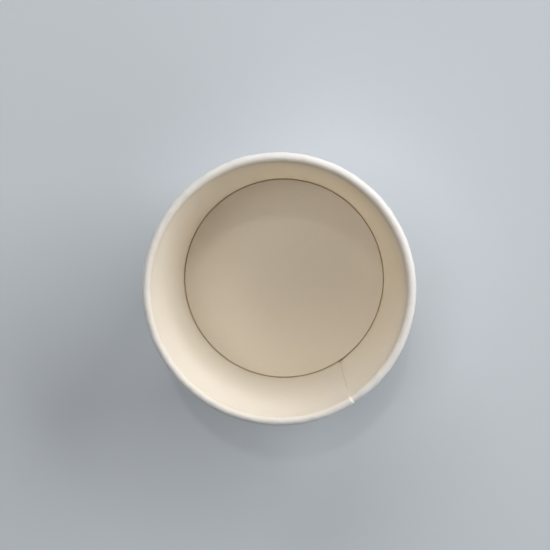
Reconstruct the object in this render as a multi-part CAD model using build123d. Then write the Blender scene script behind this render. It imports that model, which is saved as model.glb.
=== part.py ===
from build123d import *
import os
from math import acos, asin, atan2, cos, degrees, hypot, radians, sin, tan

# Paper soup container, standing on its foot with its mouth open upwards.
# Two pieces of coated board make it:
# The side wall is one blank wound into a cone and lapped at a side seam. Its top edge is rolled outwards
# into the rim, and its bottom edge is folded inwards and up as a hem.
# The base disc has a skirt turned down round its edge, which is sealed between the wall and the hem.
# Lengths are in millimetres and angles in degrees. The axis is Z, the foot stands at Z = 0, and the inner
# edge of the side seam lies towards +Y. Front means the board's coated side, which holds the soup.

# Overall size
rim_diameter = 98.0  # over the rolled rim
foot_diameter = 80.0  # of the wall's cone where it reaches the ground
height = 60.0  # from the foot to the top of the rim

# Board and sealing
wall_board = 0.42  # thickness of the side wall's board
base_board = 0.40  # thickness of the base disc's board
seal_gap = 0.03  # melted coating between the skirt and the board on each side of it

# Rolled rim, drawn in short straight facets
rim_roll_diameter = 3.5  # across the roll
rim_roll_gap = 0.12  # between the roll's cut edge and the wall
front_facets = 3  # in each quarter turn of the roll's coated side, which shows
back_facets = 2  # in each quarter turn of its hidden side

# Side seam
seam_lap = 8.0  # width over which the two ends of the blank lie on each other
seam_joggle = 5.0  # width over which the outer end steps out
seam_press = 0.05  # how far the two ends are pressed into each other when they are sealed
seam_azimuth = 90.0  # of the inner end's cut edge

# Foot
hem_height = 5.2  # from the ground to the hem's cut edge
foot_chamfer = 0.3  # taken off each corner of the pressed fold
foot_chamfer_limit_share = 0.4  # of the foot's thickness, so that a flat ring is left to stand on

# Base disc
base_level = 6.8  # inside face of the disc above the ground
base_bend = 0.15  # height of the bend between the disc and its skirt, inside

# The roll's axis, and the taper of a wall that runs from the foot into the roll without a kink
roll_radius = rim_roll_diameter / 2
roll_centre = (rim_diameter / 2 - roll_radius, height - roll_radius)
foot_to_roll = (roll_centre[0] - foot_diameter / 2, roll_centre[1])
taper = degrees(atan2(*foot_to_roll) - asin((roll_radius - wall_board) / hypot(*foot_to_roll)))

# The slot of the hem, and the angles that the side seam takes half-way up the wall
slot_width = base_board + 2 * seal_gap
foot_thickness = 2 * wall_board + slot_width
seam_radius = foot_diameter / 2 + height / 2 * tan(radians(taper))
joggle_angle = degrees(seam_joggle / seam_radius)
lap_angle = degrees(seam_lap / seam_radius)


def on_cone(level, depth):
    """Radius and height of the point at this level, this deep below the wall's outer face."""
    radius = foot_diameter / 2 + level * tan(radians(taper)) - depth / cos(radians(taper))
    return radius, level


def rim_roll(lift, depth, quarter_facets):
    """Facets of the roll, this deep below its front, from the wall round to the cut edge.

    Where the seam lifts the board off the cone, the roll is wound as much tighter.
    """
    front_radius = roll_radius - lift
    opening = degrees(acos((front_radius - wall_board - rim_roll_gap) / front_radius))
    corners = (180 - taper, 90, 0, -90, opening - 180 - taper)
    facet_counts = (quarter_facets, quarter_facets, quarter_facets, quarter_facets - 1)
    directions = [corners[0]]
    for start, end, facets in zip(corners, corners[1:], facet_counts):
        directions += [start + (end - start) * facet / facets for facet in range(1, facets + 1)]
    radius = front_radius - depth
    return [
        (roll_centre[0] + radius * cos(radians(turn)), roll_centre[1] + radius * sin(radians(turn)))
        for turn in directions
    ]


def wall_section(lift):
    """Section through the side wall's board where the seam lifts it this far off the cone."""
    hem_front = wall_board + slot_width + lift
    hem_back = hem_front + wall_board
    chamfer = min(foot_chamfer, foot_chamfer_limit_share * foot_thickness)
    hem = [
        on_cone(wall_board, wall_board - lift),
        on_cone(wall_board, hem_front),
        on_cone(hem_height, hem_front),
        on_cone(hem_height, hem_back),
    ]
    foot = [
        on_cone(chamfer, hem_back),
        on_cone(0, hem_back - chamfer),
        on_cone(0, chamfer - lift),
        on_cone(chamfer, -lift),
    ]
    front = rim_roll(lift, 0, front_facets)
    back = rim_roll(lift, wall_board, back_facets)
    return Plane.XZ * make_face(Polyline(*hem, *foot, *back, *reversed(front), close=True))


def make_side_wall():
    """The wound blank: one board thick all round, two at the seam, with the outer end stepped out."""
    seam_lift = wall_board - seam_press
    round_wall = Rot(Z=joggle_angle) * revolve(wall_section(0), Axis.Z, 360 - joggle_angle)
    step_out = loft([Rot(Z=joggle_angle) * wall_section(0), wall_section(seam_lift)], ruled=True)
    outer_lap = revolve(wall_section(seam_lift), Axis.Z, -lap_angle)
    return Rot(Z=seam_azimuth) * (round_wall + step_out + outer_lap)


def make_base_disc():
    """The disc with its skirt, which follows the wall's taper down to the floor of the hem's slot."""
    skirt_foot = wall_board + seal_gap
    skirt_front = wall_board + seal_gap
    skirt_back = skirt_front + base_board
    underside = base_level - base_board
    outline = [
        (0, underside),
        on_cone(underside, skirt_back + base_bend),
        on_cone(underside - base_bend, skirt_back),
        on_cone(skirt_foot, skirt_back),
        on_cone(skirt_foot, skirt_front),
        on_cone(underside - base_bend, skirt_front),
        on_cone(base_level, skirt_back + base_bend),
        (0, base_level),
    ]
    return revolve(Plane.XZ * make_face(Polyline(*outline, close=True)), Axis.Z)


os.makedirs("parts", exist_ok=True)
export_step(make_side_wall(), "parts/side_wall.step")
export_step(make_base_disc(), "parts/base_disc.step")
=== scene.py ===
from math import acos, asin, atan2, cos, hypot, pi, radians, sin, tan

import bpy
from mathutils import Matrix, Vector


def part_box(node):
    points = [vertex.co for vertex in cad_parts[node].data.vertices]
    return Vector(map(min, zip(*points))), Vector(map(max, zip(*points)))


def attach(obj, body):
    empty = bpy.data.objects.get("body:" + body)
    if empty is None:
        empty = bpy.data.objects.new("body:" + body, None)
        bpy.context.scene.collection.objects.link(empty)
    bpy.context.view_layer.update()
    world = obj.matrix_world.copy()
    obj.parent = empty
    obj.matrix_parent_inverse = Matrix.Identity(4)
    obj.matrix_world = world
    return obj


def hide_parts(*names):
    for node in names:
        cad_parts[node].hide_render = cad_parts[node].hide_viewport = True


# Paper soup container: a side wall wound from one board blank, and a base disc sealed in its folded foot.
# Lengths are in metres and angles in radians. The axis is Z and the foot stands at Z = 0.
# The coated side of the board holds the soup. It also shows on the rim, which is rolled outwards.

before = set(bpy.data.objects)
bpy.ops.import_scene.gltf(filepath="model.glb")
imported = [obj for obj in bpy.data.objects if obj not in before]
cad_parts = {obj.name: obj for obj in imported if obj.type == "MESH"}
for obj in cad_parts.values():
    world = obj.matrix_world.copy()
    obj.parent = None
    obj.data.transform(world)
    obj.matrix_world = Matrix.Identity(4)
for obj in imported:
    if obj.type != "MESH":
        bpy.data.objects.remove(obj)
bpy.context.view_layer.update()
wall_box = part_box("side_wall")
base_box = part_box("base_disc")

MM = 0.001

# Side wall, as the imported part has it
rim_radius = wall_box[1].x
height = wall_box[1].z
foot_radius = 40.0 * MM
wall_board = 0.42 * MM
rim_roll_radius = 1.75 * MM
rim_roll_gap = 0.12 * MM
hem_height = 5.2 * MM
slot_width = 0.46 * MM

# Side seam
seam_azimuth = radians(90.0)
seam_lap = radians(10.65)
seam_joggle = radians(6.65)
seam_lift = wall_board + 0.015 * MM
seam_edge = radians(0.60)
seam_edge_press = 0.30 * MM
edge_columns = 4

# Marks of the making, painted shade in creases and painted light on the roll's crest, with places on the
# roll counted in its steps
rim_waver = 0.55 * MM
rim_waver_size = 4.5 * MM
rim_waver_detail = 2.5
waver_detail_share = 0.6
roll_waver_steps = ((0, 5), (20, 27))
crease_width = 0.05 * MM
# Painted shade: a brown line where the roll starts, standing in for the shade at the roll's inner shoulder
roll_crease_shade_steps = (0, 3, 6)
roll_crease_shade_share = 0.20
# Painted light: the roll's crest is whitened for the direct light and highlights it catches
roll_painted_light_steps = (4, 11)
# Partly painted shade: the disc's bend is browned for the joint's own brown and to deepen the shade in the
# groove against the wall
base_crease_shade_share = 0.85
knurl_ribs = 84
knurl_depth = 0.14 * MM
knurl_start = 1.0 * MM
knurl_fade = 0.9 * MM
knurl_flank_share = 0.6
fold_rise_reach = 8.0 * MM

# Base disc
base_level = base_box[1].z
base_board = 0.40 * MM
base_bend_radius = 0.42 * MM
seal_gap = 0.03 * MM
base_waver = 0.5 * MM
base_waver_size = 45.0 * MM
base_waver_detail = 1.0
base_waver_fade_shares = (0.5, 0.97)

# Fineness of the meshes
wall_columns = 680
base_columns = 360
hem_steps = 6
fold_steps = 8
wall_steps = 16
roll_steps = 36
disc_steps = 36
disc_edge_steps = 2
base_bend_steps = 8
skirt_steps = 6
weld_distance = 0.0001 * MM
sharp_angle = radians(40.0)

# Taper of a wall that runs from the foot into the roll without a kink
roll_centre = (rim_radius - rim_roll_radius, height - rim_roll_radius)
foot_to_roll = (roll_centre[0] - foot_radius, roll_centre[1])
taper = atan2(*foot_to_roll) - asin((rim_roll_radius - wall_board) / hypot(*foot_to_roll))


def fill_inputs(tree, node, inputs):
    """Joins each input of a node to a socket, or gives it a value."""
    for name, value in inputs.items():
        if isinstance(value, bpy.types.NodeSocket):
            tree.links.new(value, node.inputs[name])
        else:
            node.inputs[name].default_value = value


def add_node(tree, kind, inputs=None, **settings):
    """Adds a node with these settings and inputs."""
    made = tree.nodes.new(kind)
    for name, value in settings.items():
        setattr(made, name, value)
    fill_inputs(tree, made, inputs or {})
    return made


def add_object(name, data):
    """An object of the scene at the origin."""
    made = bpy.data.objects.new(name, data)
    bpy.context.scene.collection.objects.link(made)
    return made


def maths(tree, operation, *values):
    """One sum of plain numbers."""
    return add_node(tree, "ShaderNodeMath", dict(enumerate(values)), operation=operation).outputs[0]


def between(tree, value, start, end, low, high, change="LINEAR"):
    """From low to high while the value goes from start to end."""
    inputs = {"Value": value, "From Min": start, "From Max": end, "To Min": low, "To Max": high}
    return add_node(tree, "ShaderNodeMapRange", inputs, interpolation_type=change).outputs["Result"]


def ramp(tree, value, start, end, low=0.0, high=1.0):
    """A smooth change from low to high while the value goes from start to end."""
    return between(tree, value, start, end, low, high, "SMOOTHSTEP")


def scaled(tree, vector, share):
    """The vector times a number."""
    inputs = {0: vector, "Scale": share}
    return add_node(tree, "ShaderNodeVectorMath", inputs, operation="SCALE").outputs[0]


def summed(tree, *vectors):
    """The sum of the vectors."""
    total = vectors[0]
    for vector in vectors[1:]:
        total = add_node(tree, "ShaderNodeVectorMath", {0: total, 1: vector}, operation="ADD").outputs[0]
    return total


def new_tree(name, kind, inputs, outputs):
    """A node group with these named sockets, and its input and output nodes."""
    tree = bpy.data.node_groups.new(name, kind)
    for in_out, sockets in (("INPUT", inputs), ("OUTPUT", outputs)):
        for socket, socket_type in sockets.items():
            tree.interface.new_socket(socket, in_out=in_out, socket_type="NodeSocket" + socket_type)
    return tree, tree.nodes.new("NodeGroupInput").outputs, tree.nodes.new("NodeGroupOutput").inputs


# Sections of the board, drawn on its coated side as points with the direction of its other side


def smooth_share(value, start, end):
    """0 before start, 1 after end, and smooth between them."""
    share = min(1.0, max(0.0, (value - start) / (end - start)))
    return share * share * (3.0 - 2.0 * share)


def on_cone(level, depth):
    """Radius and height of the point at this level, this deep below the wall's outer face."""
    return foot_radius + level * tan(taper) - depth / cos(taper), level


def straight(start, end, steps, direction):
    """Evenly spaced points from start to end, where the board's other side faces this direction."""
    other_side = (cos(direction), sin(direction))
    shares = [step / steps for step in range(steps + 1)]
    return [
        (tuple(a + (b - a) * share for a, b in zip(start, end)), other_side) for share in shares
    ]


def bend(centre, radius, start, end, steps, faces_in):
    """Points round a bend, where the board's other side faces its centre or away from it."""
    points = []
    for step in range(steps + 1):
        turn = start + (end - start) * step / steps
        outwards = Vector((cos(turn), sin(turn)))
        place = Vector(centre) + radius * outwards
        points.append((tuple(place), tuple(-outwards if faces_in else outwards)))
    return points


def section_mesh(name, runs, shares):
    """A line of points with the board's other side, its length so far and named shares on each."""
    points = []
    for run in runs:
        points += run if not points else run[1:]
    mesh = bpy.data.meshes.new(name)
    places = [(radius, 0.0, level) for (radius, level), side in points]
    mesh.from_pydata(places, [(step, step + 1) for step in range(len(places) - 1)], [])
    lengths = [0.0]
    for before, after in zip(places, places[1:]):
        lengths.append(lengths[-1] + (Vector(after) - Vector(before)).length)
    for attribute, values in {"length": lengths, **shares(points)}.items():
        made = mesh.attributes.new(attribute, "FLOAT", "POINT")
        made.data.foreach_set("value", values)
    sides = mesh.attributes.new("other_side", "FLOAT_VECTOR", "POINT")
    sides.data.foreach_set("vector", [n for place, (r, z) in points for n in (r, 0.0, z)])
    return mesh


def wall_section():
    """From the hem's cut edge down round the fold, up the wall and round the roll to its cut edge."""
    hem_front = wall_board + slot_width
    fold_centre = on_cone(wall_board + slot_width / 2, hem_front - slot_width / 2)
    hem_turn = pi - taper
    opening = acos((rim_roll_radius - wall_board - rim_roll_gap) / rim_roll_radius)
    fold_round = bend(fold_centre, slot_width / 2, hem_turn, hem_turn + pi, fold_steps, False)
    fold = [(place, (side[0], 0.0)) for place, side in fold_round]
    roll_end = hem_turn + opening - 2.0 * pi
    roll = bend(roll_centre, rim_roll_radius, hem_turn, roll_end, roll_steps, True)
    hem = straight(on_cone(hem_height, hem_front), fold[0][0], hem_steps, hem_turn)
    wall = straight(fold[-1][0], roll[0][0], wall_steps, -taper)
    after_fold = len(hem) + len(fold) - 1

    def roll_waver(step):
        rise, fall = roll_waver_steps
        return smooth_share(step, *rise) * (1.0 - smooth_share(step, *fall))

    # Painted shade on the roll's first steps
    def roll_crease_shade(step):
        start, middle, end = roll_crease_shade_steps
        rise = smooth_share(step, start, middle)
        return roll_crease_shade_share * rise * (1.0 - smooth_share(step, middle, end))

    def shares(points):
        before_roll = [0.0] * (len(points) - len(roll))
        on_roll = range(len(roll))
        levels = [place[1] for place, side in points]
        hem_levels, other_levels = levels[:len(hem)], levels[len(hem):]
        wall_levels = levels[after_fold:]
        return {
            "waver_share": before_roll + [roll_waver(step) for step in on_roll],
            "knurl_share": [
                smooth_share(level, knurl_start, knurl_start + knurl_fade)
                * smooth_share(hem_height - level, 0.0, knurl_fade)
                for level in hem_levels
            ]
            + [0.0] * len(other_levels),
            "rise_share": [1.0] * after_fold
            + [1.0 - smooth_share(level, 0.0, fold_rise_reach) for level in wall_levels],
            # Painted shade where the roll starts
            "crease_shade_share": before_roll + [roll_crease_shade(step) for step in on_roll],
            # Painted light on the roll's crest
            "crest_painted_light_share": before_roll + [smooth_share(step, *roll_painted_light_steps) for step in on_roll],
        }

    return section_mesh("wall_section", (hem, fold, wall, roll), shares)


def base_section():
    """From the middle of the disc out to its bend and down the skirt to its cut edge."""
    skirt_depth = wall_board + seal_gap
    skirt_foot = on_cone(wall_board + seal_gap, skirt_depth)
    bend_level = base_level - base_bend_radius
    bend_centre = on_cone(bend_level, skirt_depth + base_bend_radius)
    bend_round = bend(bend_centre, base_bend_radius, pi / 2, -taper, base_bend_steps, True)
    disc_edge = (bend_round[0][0][0] - crease_width, base_level)
    disc = straight((0.0, base_level), disc_edge, disc_steps, -pi / 2)
    edge = straight(disc_edge, bend_round[0][0], disc_edge_steps, -pi / 2)
    skirt = straight(bend_round[-1][0], skirt_foot, skirt_steps, pi - taper)
    waver_fade = [share * disc_edge[0] for share in base_waver_fade_shares]

    def shares(points):
        return {
            "waver_share": [
                1.0 - smooth_share(radius, *waver_fade) for (radius, level), side in points
            ],
            "knurl_share": [0.0] * len(points),
            "rise_share": [0.0] * len(points),
            # Partly painted shade: brown at the disc's bend, deepening the groove's shade
            "crease_shade_share": [
                base_crease_shade_share * smooth_share(radius, disc_edge[0], bend_round[0][0][0])
                for (radius, level), side in points
            ],
            "crest_painted_light_share": [0.0] * len(points),
        }

    return section_mesh("base_section", (disc, edge, bend_round, skirt), shares)


def wound_board_tree():
    """Winds a section round the axis, lapped and stepped out at the seam, with the marks of the making and
    the section's painted shade and painted light.
    """
    tree, given, result = new_tree(
        "wound_board",
        "GeometryNodeTree",
        {
            "Section": "Geometry",
            "Steps Around": "Int",
            "Seam Azimuth": "Float",
            "Lap": "Float",
            "Joggle": "Float",
            "Seam Lift": "Float",
            "Edge Width": "Float",
            "Edge Press": "Float",
            "Waver": "Float",
            "Waver Size": "Float",
            "Waver Detail": "Float",
            "Knurl Ribs": "Int",
            "Knurl Depth": "Float",
            "Finish": "Material",
        },
        {"Board": "Geometry"},
    )
    points = add_node(
        tree, "GeometryNodeAttributeDomainSize", {"Geometry": given["Section"]}, component="MESH"
    ).outputs["Point Count"]
    grid = add_node(
        tree, "GeometryNodeMeshGrid", {"Vertices X": given["Steps Around"], "Vertices Y": points}
    ).outputs["Mesh"]
    index = tree.nodes.new("GeometryNodeInputIndex").outputs[0]
    along = maths(tree, "FLOORED_MODULO", index, points)
    column = maths(tree, "FLOOR", maths(tree, "DIVIDE", index, points))
    last_column = maths(tree, "SUBTRACT", given["Steps Around"], 1.0)
    whole_turn = maths(tree, "ADD", 2.0 * pi, given["Lap"])
    edge_sweep = between(tree, column, 0.0, edge_columns, 0.0, given["Edge Width"])
    main_turn = maths(tree, "SUBTRACT", whole_turn, given["Edge Width"])
    main_sweep = between(tree, column, edge_columns, last_column, 0.0, main_turn)
    sweep = maths(tree, "ADD", edge_sweep, main_sweep)
    has_edge = maths(tree, "GREATER_THAN", given["Edge Press"], 0.0)
    edge_share = between(tree, column, 0.0, edge_columns, has_edge, 0.0)
    azimuth = maths(tree, "SUBTRACT", given["Seam Azimuth"], sweep)

    def from_section(name, data_type):
        if name:
            field = add_node(
                tree, "GeometryNodeInputNamedAttribute", {"Name": name}, data_type=data_type
            ).outputs["Attribute"]
        else:
            field = tree.nodes.new("GeometryNodeInputPosition").outputs[0]
        inputs = {"Geometry": given["Section"], "Value": field, "Index": along}
        return add_node(tree, "GeometryNodeSampleIndex", inputs, data_type=data_type).outputs["Value"]

    place = from_section("", "FLOAT_VECTOR")
    other_side = from_section("other_side", "FLOAT_VECTOR")
    rise_share = from_section("rise_share", "FLOAT")
    outer_end = ramp(tree, sweep, maths(tree, "SUBTRACT", 2.0 * pi, given["Joggle"]), 2.0 * pi)
    inner_end = ramp(
        tree, sweep, given["Lap"], maths(tree, "ADD", given["Lap"], given["Joggle"]), 1.0, 0.0
    )
    lift = maths(tree, "MULTIPLY", outer_end, given["Seam Lift"])
    fold_rise = maths(tree, "MULTIPLY", rise_share, maths(tree, "MULTIPLY", inner_end, given["Seam Lift"]))

    round_place = add_node(
        tree, "ShaderNodeVectorRotate", {"Vector": place, "Angle": azimuth}, rotation_type="Z_AXIS"
    ).outputs[0]
    noise = add_node(
        tree,
        "ShaderNodeTexNoise",
        {
            "Vector": round_place,
            "Scale": maths(tree, "DIVIDE", 1.0, given["Waver Size"]),
            "Detail": given["Waver Detail"],
            "Roughness": waver_detail_share,
        },
    ).outputs[0]
    waver_noise = maths(tree, "MULTIPLY", maths(tree, "SUBTRACT", noise, 0.5), given["Waver"])
    waver = maths(tree, "MULTIPLY", waver_noise, from_section("waver_share", "FLOAT"))
    ribs = maths(tree, "COSINE", maths(tree, "MULTIPLY", azimuth, given["Knurl Ribs"]))
    rib_share = ramp(tree, ribs, -knurl_flank_share, knurl_flank_share)
    knurl_press = maths(tree, "MULTIPLY", rib_share, given["Knurl Depth"])
    knurl = maths(tree, "MULTIPLY", knurl_press, from_section("knurl_share", "FLOAT"))
    edge_press = maths(tree, "MULTIPLY", edge_share, given["Edge Press"])
    shift = maths(tree, "ADD", maths(tree, "ADD", lift, waver), maths(tree, "ADD", knurl, edge_press))

    moved = summed(
        tree,
        place,
        scaled(tree, other_side, shift),
        add_node(tree, "ShaderNodeCombineXYZ", {"Z": fold_rise}).outputs[0],
    )
    wound = add_node(
        tree, "ShaderNodeVectorRotate", {"Vector": moved, "Angle": azimuth}, rotation_type="Z_AXIS"
    ).outputs[0]
    grain = add_node(
        tree,
        "ShaderNodeCombineXYZ",
        {"X": maths(tree, "MULTIPLY", sweep, foot_radius), "Y": from_section("length", "FLOAT")},
    ).outputs[0]
    marked = grid
    for name, data_type, value in (
        ("grain", "FLOAT_VECTOR", grain),
        ("edge_share", "FLOAT", edge_share),
        # Painted shade in the creases and painted light on the roll's crest go onto the board as attributes
        ("crease_shade_share", "FLOAT", from_section("crease_shade_share", "FLOAT")),
        ("crest_painted_light_share", "FLOAT", from_section("crest_painted_light_share", "FLOAT")),
    ):
        marked = add_node(
            tree,
            "GeometryNodeStoreNamedAttribute",
            {"Geometry": marked, "Name": name, "Value": value},
            data_type=data_type,
            domain="POINT",
        ).outputs[0]
    board = add_node(tree, "GeometryNodeSetPosition", {"Geometry": marked, "Position": wound}).outputs[0]
    closed = add_node(
        tree, "GeometryNodeMergeByDistance", {"Geometry": board, "Distance": weld_distance}
    ).outputs[0]
    smooth = add_node(tree, "GeometryNodeSetShadeSmooth", {"Geometry": closed}).outputs[0]
    real = add_node(tree, "GeometryNodeRealizeInstances", {"Geometry": smooth}).outputs[0]
    finished = add_node(
        tree, "GeometryNodeSetMaterial", {"Geometry": real, "Material": given["Finish"]}
    ).outputs[0]
    tree.links.new(finished, result["Board"])
    return tree


def plain_mesh(name, draft):
    """The finished mesh of a draft, whose object is taken away."""
    mesh = bpy.data.meshes.new_from_object(draft.evaluated_get(bpy.context.evaluated_depsgraph_get()))
    bpy.data.objects.remove(draft)
    mesh.name = name
    return mesh


def wind_board(name, section, tree, values, board, finishes):
    """Winds a section, gives the board its thickness, and leaves a plain mesh with its three finishes."""
    draft = add_object(name + "_draft", section)
    winding = draft.modifiers.new("winding", "NODES")
    winding.node_group = tree
    for socket in tree.interface.items_tree:
        if socket.name in values:
            winding[socket.identifier] = values[socket.name]
    coated_face = plain_mesh(name + "_coated_face", draft)
    coated_face.materials.clear()
    for finish in finishes:
        coated_face.materials.append(finish)
    draft = add_object(name + "_draft", coated_face)
    pressed = draft.vertex_groups.new(name="pressed_edge")
    for point, mark in enumerate(coated_face.attributes["edge_share"].data):
        if mark.value > 0.0:
            pressed.add([point], mark.value * values["Edge Press"] / board, "REPLACE")
    thickness = draft.modifiers.new("thickness", "SOLIDIFY")
    thickness.vertex_group = pressed.name
    thickness.invert_vertex_group = True
    thickness.thickness = board
    thickness.offset = -1.0
    thickness.material_offset = 1
    thickness.material_offset_rim = 2
    mesh = plain_mesh(name, draft)
    mesh.set_sharp_from_angle(angle=sharp_angle)
    return add_object(name, mesh)


# Finishes of the board


def board_fibre_group():
    """Cloudy tone and fine fibres of paper board, as a colour, a roughness and a height."""
    tree, given, result = new_tree(
        "board_fibre",
        "ShaderNodeTree",
        {
            "Vector": "Vector",
            "Colour": "Color",
            "Cloud Size": "Float",
            "Cloud Tone": "Float",
            "Fibre Size": "Float",
            "Fibre Tone": "Float",
            "Roughness": "Float",
            "Roughness Spread": "Float",
        },
        {"Colour": "Color", "Roughness": "Float", "Height": "Float"},
    )

    def noise(size, detail, stretch_shares):
        inputs = {"Vector": given["Vector"], "Scale": stretch_shares}
        vector = add_node(tree, "ShaderNodeMapping", inputs).outputs[0]
        inputs = {"Vector": vector, "Scale": maths(tree, "DIVIDE", 1.0, size), "Detail": detail}
        return maths(tree, "SUBTRACT", add_node(tree, "ShaderNodeTexNoise", inputs).outputs[0], 0.5)

    clouds = noise(given["Cloud Size"], cloud_detail, cloud_stretch_shares)
    fibres = noise(given["Fibre Size"], fibre_detail, fibre_stretch_shares)
    cloud_tone = maths(tree, "MULTIPLY_ADD", clouds, given["Cloud Tone"], 1.0)
    tone = maths(tree, "MULTIPLY_ADD", fibres, given["Fibre Tone"], cloud_tone)
    tree.links.new(scaled(tree, given["Colour"], tone), result["Colour"])
    roughness = maths(tree, "MULTIPLY_ADD", clouds, given["Roughness Spread"], given["Roughness"])
    tree.links.new(roughness, result["Roughness"])
    tree.links.new(fibres, result["Height"])
    return tree


def board_marks_and_painted_light_group():
    """The coat's colour with painted light on the roll's crest, the brown of painted shade in creases and
    the tone of a pressed edge.
    """
    sockets = {"Colour": "Color"}
    tree, given, result = new_tree("board_marks_and_painted_light", "ShaderNodeTree", sockets, sockets)
    mix_first, mix_second, mix_result = 6, 7, 2  # a mix node's colour sockets
    tone = given["Colour"]
    for share, mark_colour in mark_colours.items():
        factor = add_node(tree, "ShaderNodeAttribute", attribute_name=share).outputs["Fac"]
        inputs = {"Factor": factor, mix_first: tone, mix_second: (*mark_colour, 1.0)}
        tone = add_node(tree, "ShaderNodeMix", inputs, data_type="RGBA").outputs[mix_result]
    tree.links.new(tone, result["Colour"])
    return tree


def board_finish(name, colour, fibre_values, specular, bump_height, glow_depth, marked=False):
    """A finish of paper board: its colour, gloss and fibres, how far light gets into it, and any marks,
    painted shade and painted light among them.
    """
    material = bpy.data.materials.new(name)
    material.use_nodes = True
    tree = material.node_tree
    shader = tree.nodes["Principled BSDF"]
    tone = (*colour, 1.0)
    if marked:
        tone = add_node(tree, "ShaderNodeGroup", {"Colour": tone}, node_tree=board_marks_and_painted_light).outputs["Colour"]
    grain = add_node(tree, "ShaderNodeAttribute", attribute_name="grain").outputs["Vector"]
    inputs = {"Vector": grain, "Colour": tone, **fibre_values}
    fibres = add_node(tree, "ShaderNodeGroup", inputs, node_tree=board_fibre).outputs
    bump = add_node(
        tree, "ShaderNodeBump", {"Height": fibres["Height"], "Distance": bump_height, "Strength": 1.0}
    )
    tree.links.new(fibres["Colour"], shader.inputs["Base Color"])
    tree.links.new(fibres["Roughness"], shader.inputs["Roughness"])
    tree.links.new(bump.outputs[0], shader.inputs["Normal"])
    shader.inputs["Specular IOR Level"].default_value = specular
    shader.inputs["Subsurface Weight"].default_value = 1.0
    shader.inputs["Subsurface Scale"].default_value = glow_depth
    shader.inputs["Subsurface Radius"].default_value = board_glow_tint
    return material


# Colours of the board, and how far light gets into it
wall_coat = (0.90, 0.825, 0.725)
base_coat = (0.805, 0.733, 0.612)
bare_board = (0.78, 0.775, 0.75)
cut_board = (0.82, 0.76, 0.65)
mark_colours = {
    # Painted light: white for the roll's crest
    "crest_painted_light_share": (0.88, 0.845, 0.80),
    # Painted shade: brown for the creases
    "crease_shade_share": (0.45, 0.33, 0.19),
    "edge_share": (0.80, 0.70, 0.56),
}
wall_glow_depth = 0.5 * MM
base_glow_depth = 0.2 * MM
board_glow_tint = (0.95, 0.95, 0.90)

# Gloss, clouds and fibres of the coated side, the plain side and the cut edge
coat_specular, bare_specular, cut_specular = 0.35, 0.25, 0.15
coat_bump, bare_bump, cut_bump = 0.006 * MM, 0.02 * MM, 0.06 * MM
cloud_detail, fibre_detail = 3.0, 4.0
cloud_stretch_shares = (1.0, 1.0, 1.0)
fibre_stretch_shares = (0.35, 1.0, 1.0)
coat_fibre = {
    "Cloud Size": 14 * MM,
    "Cloud Tone": 0.04,
    "Fibre Size": 1.2 * MM,
    "Fibre Tone": 0.02,
    "Roughness": 0.42,
    "Roughness Spread": 0.1,
}
bare_fibre = {
    "Cloud Size": 10 * MM,
    "Cloud Tone": 0.04,
    "Fibre Size": 0.9 * MM,
    "Fibre Tone": 0.05,
    "Roughness": 0.72,
    "Roughness Spread": 0.1,
}
cut_fibre = {
    "Cloud Size": 4 * MM,
    "Cloud Tone": 0.1,
    "Fibre Size": 0.5 * MM,
    "Fibre Tone": 0.25,
    "Roughness": 0.9,
    "Roughness Spread": 0.05,
}


def board_finishes(name, coat, glow_depth):
    """The coated side of a board, its plain side and its cut edge."""
    return (
        board_finish(name + "_coated", coat, coat_fibre, coat_specular, coat_bump, glow_depth, marked=True),
        board_finish(name + "_plain", bare_board, bare_fibre, bare_specular, bare_bump, glow_depth),
        board_finish(name + "_cut", cut_board, cut_fibre, cut_specular, cut_bump, glow_depth),
    )


# The two pieces

winding_tree = wound_board_tree()
board_fibre = board_fibre_group()
board_marks_and_painted_light = board_marks_and_painted_light_group()
wall_finishes = board_finishes("wall_board", wall_coat, wall_glow_depth)
base_finishes = board_finishes("base_board", base_coat, base_glow_depth)
container_wall = wind_board(
    "container_wall",
    wall_section(),
    winding_tree,
    {
        "Steps Around": wall_columns,
        "Seam Azimuth": seam_azimuth,
        "Lap": seam_lap,
        "Joggle": seam_joggle,
        "Seam Lift": seam_lift,
        "Edge Width": seam_edge,
        "Edge Press": seam_edge_press,
        "Waver": rim_waver,
        "Waver Size": rim_waver_size,
        "Waver Detail": rim_waver_detail,
        "Knurl Ribs": knurl_ribs,
        "Knurl Depth": knurl_depth,
        "Finish": wall_finishes[0],
    },
    wall_board,
    wall_finishes,
)
container_base = wind_board(
    "container_base",
    base_section(),
    winding_tree,
    {
        "Steps Around": base_columns + 1,
        "Seam Azimuth": seam_azimuth,
        "Lap": 0.0,
        "Joggle": seam_joggle,
        "Seam Lift": 0.0,
        "Edge Width": 2.0 * pi * edge_columns / base_columns,
        "Edge Press": 0.0,
        "Waver": base_waver,
        "Waver Size": base_waver_size,
        "Waver Detail": base_waver_detail,
        "Knurl Ribs": 1,
        "Knurl Depth": 0.0,
        "Finish": base_finishes[0],
    },
    base_board,
    base_finishes,
)

for piece, node, slot in (
    (container_wall, "side_wall", "wall_board"),
    (container_base, "base_disc", "base_board"),
):
    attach(piece, "root")
    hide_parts(node)

# Studio: a pale floor, soft light and a camera that looks down into the mouth

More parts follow.
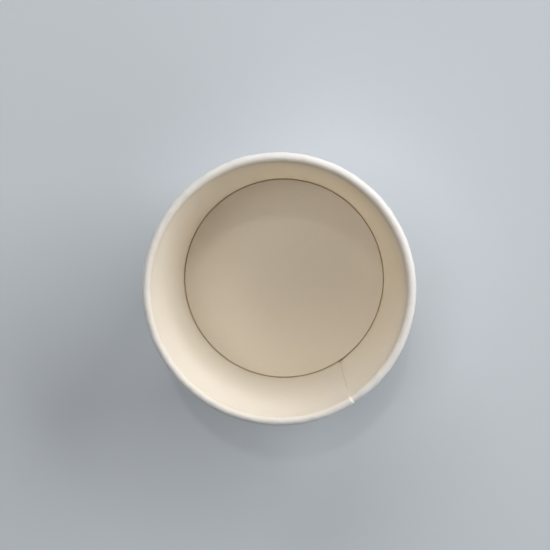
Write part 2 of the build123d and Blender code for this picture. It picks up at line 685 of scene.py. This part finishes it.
rim_centre = Vector((0.0, 0.0, roll_centre[1]))
lamp_distance = 2.0
softboxes = {  # azimuth, elevation, width and height, watts
    "key_softbox": (radians(178.0), radians(26.0), (1.8, 1.2), 32.4),
    "side_softbox": (radians(244.0), radians(29.0), (1.5, 1.2), 15.0),
    "far_softbox": (radians(100.0), radians(40.0), (1.2, 1.2), 4.2),
    "top_softbox": (radians(300.0), radians(74.0), (0.8, 0.8), 8.0),
    "small_lamp": (radians(238.0), radians(67.0), (0.08, 0.08), 2.2),
}
background_colour = (0.60, 0.64, 0.68, 1.0)
floor_colour = (0.64, 0.68, 0.72, 1.0)
floor_roughness = 0.9
floor_half = 3.0
plain_floor_reach = 0.35
background_reach = 1.2
room_light_share = 0.01


def add_softbox(name, azimuth, elevation, size, power):
    """A soft light of this width and height that faces the rim from this direction."""
    light = bpy.data.lights.new(name, "AREA")
    light.shape = "RECTANGLE"
    light.size, light.size_y = size
    light.energy = power
    lamp = add_object(name, light)
    back = Vector((cos(elevation) * cos(azimuth), cos(elevation) * sin(azimuth), sin(elevation)))
    lamp.location = rim_centre + lamp_distance * back
    lamp.rotation_euler = back.to_track_quat("Z", "Y").to_euler()


def seen_share(tree):
    """1 for what the camera sees, straight or in a gloss, and 0 for the light that falls on things."""
    light_path = tree.nodes.new("ShaderNodeLightPath").outputs
    in_gloss = maths(tree, "MAXIMUM", light_path["Is Glossy Ray"], light_path["Is Transmission Ray"])
    return maths(tree, "MAXIMUM", light_path["Is Camera Ray"], in_gloss)


for lamp_name, lamp_values in softboxes.items():
    add_softbox(lamp_name, *lamp_values)

floor_mesh = bpy.data.meshes.new("floor")
floor_corners = ((-1, -1), (1, -1), (1, 1), (-1, 1))
floor_places = [(floor_half * x, floor_half * y, 0.0) for x, y in floor_corners]
floor_mesh.from_pydata(floor_places, [], [tuple(range(len(floor_places)))])
floor = add_object("floor", floor_mesh)
floor_paint = bpy.data.materials.new("floor_paint")
floor_paint.use_nodes = True
floor_tree = floor_paint.node_tree
floor_shader = floor_tree.nodes["Principled BSDF"]
floor_shader.inputs["Base Color"].default_value = floor_colour
floor_shader.inputs["Roughness"].default_value = floor_roughness
floor_shader.inputs["Specular IOR Level"].default_value = 0.0
floor_place = floor_tree.nodes.new("ShaderNodeTexCoord").outputs["Object"]
far_out = add_node(
    floor_tree, "ShaderNodeVectorMath", {0: floor_place}, operation="LENGTH"
).outputs["Value"]
far_share = ramp(floor_tree, far_out, plain_floor_reach, background_reach)
far_seen = maths(floor_tree, "MULTIPLY", far_share, seen_share(floor_tree))
far_floor = add_node(floor_tree, "ShaderNodeEmission", {"Color": background_colour}).outputs[0]
shown_floor = add_node(
    floor_tree, "ShaderNodeMixShader", {0: far_seen, 1: floor_shader.outputs[0], 2: far_floor}
).outputs[0]
floor_tree.links.new(shown_floor, floor_tree.nodes["Material Output"].inputs["Surface"])
floor_mesh.materials.append(floor_paint)

room = bpy.data.worlds.new("room")
room.use_nodes = True
bpy.context.scene.world = room
room_tree = room.node_tree
room_light = between(room_tree, seen_share(room_tree), 0.0, 1.0, room_light_share, 1.0)
room_tree.links.new(room_light, room_tree.nodes["Background"].inputs["Strength"])
room_tree.nodes["Background"].inputs["Color"].default_value = background_colour

camera_place = Vector((-33.51 * MM, -20.33 * MM, 460.59 * MM))
camera_aim = Vector((-2.01 * MM, -5.15 * MM, 58.25 * MM))
camera_up = Vector((-0.5577, -0.8266, -0.0748))
lens = bpy.data.cameras.new("camera")
lens.lens = 74.03
lens.sensor_width = 36.0
camera = add_object("camera", lens)
camera_back = (camera_place - camera_aim).normalized()
camera_right = camera_up.cross(camera_back).normalized()
turn = Matrix((camera_right, camera_back.cross(camera_right), camera_back)).transposed()
camera.matrix_world = Matrix.Translation(camera_place) @ turn.to_4x4()
bpy.context.scene.camera = camera
bpy.context.scene.view_settings.view_transform = "Standard"

bpy.context.view_layer.update()
